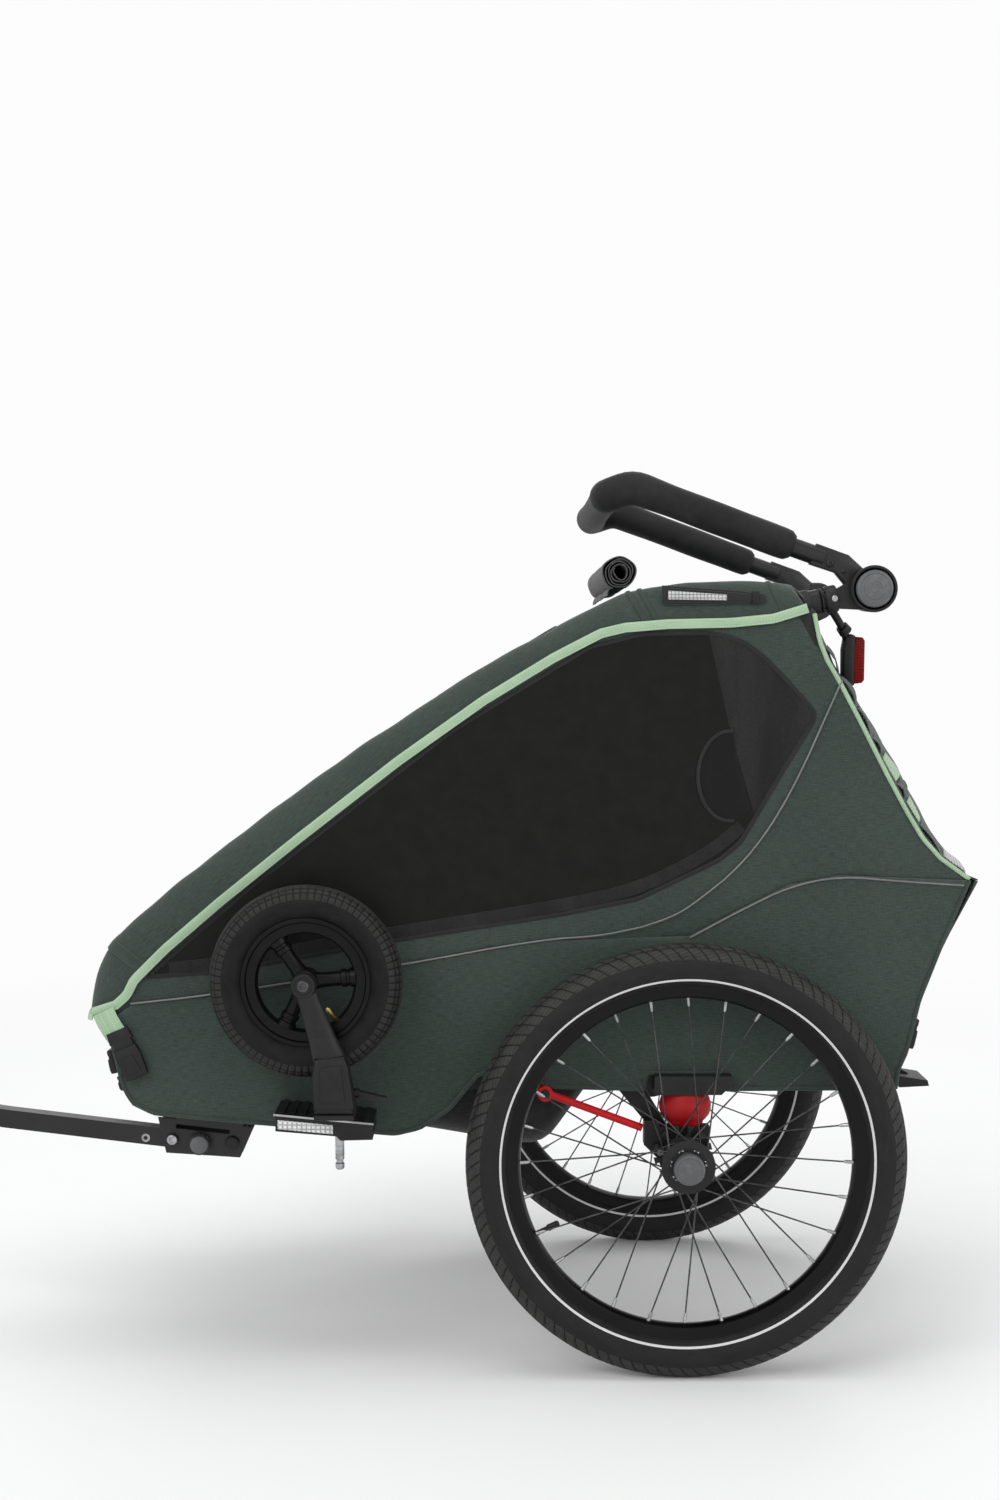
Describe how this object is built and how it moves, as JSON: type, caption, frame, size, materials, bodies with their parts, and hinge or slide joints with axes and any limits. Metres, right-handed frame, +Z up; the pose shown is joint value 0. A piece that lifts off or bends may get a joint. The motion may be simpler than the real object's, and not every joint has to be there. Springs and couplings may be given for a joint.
{
  "type": "child bicycle trailer",
  "caption": "Two-wheeled child bicycle trailer with folding fabric cabin, sprung wheels, folding tow arm, push handle and a stowed small front wheel.",
  "frame": {"origin": "on the ground under the middle of the whole trailer, tow arm included", "axes": "-X is the direction of travel, +Z is up, -Y is the trailer's left"},
  "size_m": [1.5038, 0.69, 1.0428],
  "materials": {
    "frame_black": "satin black powder coat on alloy tube",
    "green_fabric": "dark heather green polyester, coated",
    "mint_trim": "light green woven binding",
    "window_film": "tinted film and black mesh",
    "reflective_tape": "silver reflective tape",
    "black_fabric": "black woven polyester",
    "seat_fabric": "dark grey padded fabric",
    "black_plastic": "moulded black nylon",
    "grey_plastic": "moulded grey nylon",
    "foam": "black closed cell foam",
    "tyre_rubber": "black tyre with reflective stripe",
    "rim_black": "black anodised",
    "spoke_steel": "stainless steel, dark",
    "pin_steel": "bright zinc plated steel",
    "red_elastomer": "bright red polyurethane",
    "red_paint": "bright red powder coat",
    "red_lens": "red transparent plastic",
    "prism_white": "white prismatic reflector"
  },
  "bodies": {
    "chassis": {"side_rails": "frame_black", "cross_tubes": "frame_black", "stem_socket": "frame_black", "back_posts": "frame_black", "suspension_beam": "frame_black", "tow_bracket": "frame_black", "wheel_holders": "black_plastic", "step_reflectors": "prism_white", "tub_side_left": "green_fabric", "tub_side_right": "green_fabric", "tub_floor": "black_fabric", "foot_well": "green_fabric", "tub_front": "green_fabric", "tub_rear": "green_fabric", "strap_buckles": "black_plastic", "seat_cushion": "seat_fabric", "harness_buckle": "black_plastic", "window_left": "window_film", "window_right": "window_film", "rear_cover": "green_fabric", "elastomer_left": "red_elastomer", "elastomer_right": "red_elastomer"},
    "roof": {"roof_frame": "frame_black", "hood": "green_fabric", "hood_trim": "mint_trim", "roof_reflectors": "reflective_tape", "sunshade_roll": "black_fabric", "handle_mounts": "black_plastic", "rear_light_body": "black_plastic", "rear_light_lens": "red_lens"},
    "backrest": {"backrest_frame": "frame_black", "backrest_pad": "seat_fabric", "headrest": "black_fabric", "shoulder_straps": "black_fabric"},
    "push_handle": {"handle_bar": "frame_black", "foam_grip": "foam"},
    "handle_button_left": {"handle_button_left": "grey_plastic"},
    "handle_button_right": {"handle_button_right": "grey_plastic"},
    "tow_arm": {"tow_arm": "frame_black", "hitch_head": "black_plastic"},
    "hitch_pin": {"hitch_pin": "pin_steel"},
    "lock_knob": {"lock_knob": "grey_plastic"},
    "brake_pedal": {"brake_pedal": "black_plastic"},
    "stowed_fork": {"small_fork": "black_plastic"},
    "fork_lever": {"fork_lever": "black_plastic"},
    "stowed_wheel": {"small_tyre": "tyre_rubber", "small_rim": "black_plastic"},
    "suspension_left": {"suspension_rod_left": "red_paint", "hub_carrier_left": "black_plastic"},
    "brake_pin_left": {"brake_pin_left": "pin_steel"},
    "wheel_left": {"tyre_left": "tyre_rubber", "rim_left": "rim_black", "spokes_left": "spoke_steel", "wheel_hub_left": "frame_black", "brake_ring_left": "frame_black"},
    "hub_button_left": {"hub_button_left": "grey_plastic"},
    "suspension_right": {"suspension_rod_right": "red_paint", "hub_carrier_right": "black_plastic"},
    "brake_pin_right": {"brake_pin_right": "pin_steel"},
    "wheel_right": {"tyre_right": "tyre_rubber", "rim_right": "rim_black", "spokes_right": "spoke_steel", "wheel_hub_right": "frame_black", "brake_ring_right": "frame_black"},
    "hub_button_right": {"hub_button_right": "grey_plastic"}
  },
  "joints": [
    {"name": "roof_fold", "type": "hinge", "parent": "chassis", "child": "roof", "pos_m": [-0.24511, 0, 0.405], "axis": [0, 1, 0], "range_deg": [0, 18], "deforming": ["window_left", "window_right", "rear_cover"]},
    {"name": "backrest_fold", "type": "hinge", "parent": "chassis", "child": "backrest", "pos_m": [0.53489, 0, 0.42], "axis": [0, -1, 0], "range_deg": [0, 72]},
    {"name": "handle_swing", "type": "hinge", "parent": "roof", "child": "push_handle", "pos_m": [0.62489, 0, 0.908], "axis": [0, 1, 0], "range_deg": [0, 150]},
    {"name": "handle_button_press_left", "type": "slide", "parent": "roof", "child": "handle_button_left", "axis": [0, 1, 0], "range_m": [0, 0.003], "stiffness_N_per_m": 800, "springref_m": -0.002},
    {"name": "handle_button_press_right", "type": "slide", "parent": "roof", "child": "handle_button_right", "axis": [0, -1, 0], "range_m": [0, 0.003], "stiffness_N_per_m": 800, "springref_m": -0.002},
    {"name": "tow_arm_fold", "type": "hinge", "parent": "chassis", "child": "tow_arm", "pos_m": [-0.19411, -0.191, 0.26], "axis": [0, -1, 0], "range_deg": [0, 180]},
    {"name": "hitch_pin_pull", "type": "slide", "parent": "tow_arm", "child": "hitch_pin", "axis": [0.1219, 0, 0.9925], "range_m": [0, 0.036]},
    {"name": "lock_knob_pull", "type": "slide", "parent": "chassis", "child": "lock_knob", "axis": [0, -1, 0], "range_m": [0, 0.006], "stiffness_N_per_m": 800, "springref_m": -0.002},
    {"name": "suspension_travel_left", "type": "hinge", "parent": "chassis", "child": "suspension_left", "pos_m": [0.24889, -0.24, 0.323], "axis": [0, -1, 0], "range_deg": [0, 5], "stiffness_Nm_per_rad": 460, "springref_deg": -2.86, "deforming": ["elastomer_left"]},
    {"name": "wheel_spin_left", "type": "hinge", "parent": "suspension_left", "child": "wheel_left", "pos_m": [0.40989, -0.3, 0.2535], "axis": [0, 1, 0], "continuous": true},
    {"name": "hub_button_press_left", "type": "slide", "parent": "wheel_left", "child": "hub_button_left", "axis": [0, 1, 0], "range_m": [0, 0.003], "stiffness_N_per_m": 800, "springref_m": -0.002},
    {"name": "brake_pin_slide_left", "type": "slide", "parent": "suspension_left", "child": "brake_pin_left", "axis": [0, -1, 0], "range_m": [0, 0.006]},
    {"name": "suspension_travel_right", "type": "hinge", "parent": "chassis", "child": "suspension_right", "pos_m": [0.24889, 0.24, 0.323], "axis": [0, -1, 0], "range_deg": [0, 5], "stiffness_Nm_per_rad": 460, "springref_deg": -2.86, "deforming": ["elastomer_right"]},
    {"name": "wheel_spin_right", "type": "hinge", "parent": "suspension_right", "child": "wheel_right", "pos_m": [0.40989, 0.3, 0.2535], "axis": [0, 1, 0], "continuous": true},
    {"name": "hub_button_press_right", "type": "slide", "parent": "wheel_right", "child": "hub_button_right", "axis": [0, -1, 0], "range_m": [0, 0.003], "stiffness_N_per_m": 800, "springref_m": -0.002},
    {"name": "brake_pin_slide_right", "type": "slide", "parent": "suspension_right", "child": "brake_pin_right", "axis": [0, 1, 0], "range_m": [0, 0.006]},
    {"name": "brake_pedal_press", "type": "hinge", "parent": "chassis", "child": "brake_pedal", "pos_m": [0.67789, 0, 0.316], "axis": [0, 1, 0], "range_deg": [0, 18]},
    {"name": "stowed_fork_lift", "type": "slide", "parent": "chassis", "child": "stowed_fork", "axis": [0, 0, 1], "range_m": [0, 0.075]},
    {"name": "fork_lever_lift", "type": "hinge", "parent": "stowed_fork", "child": "fork_lever", "pos_m": [0.03189, -0.312, 0.336], "axis": [0, -1, 0], "range_deg": [0, 40]},
    {"name": "stowed_wheel_spin", "type": "hinge", "parent": "stowed_fork", "child": "stowed_wheel", "pos_m": [-0.02511, -0.3, 0.464], "axis": [0, 1, 0], "continuous": true}
  ],
  "couplings": [
    {"joint": "backrest_fold", "follows": "roof_fold", "ratio": 4},
    {"joint": "brake_pin_slide_left", "follows": "brake_pedal_press", "m_per_rad": 0.018},
    {"joint": "brake_pin_slide_right", "follows": "brake_pedal_press", "m_per_rad": 0.018}
  ]
}
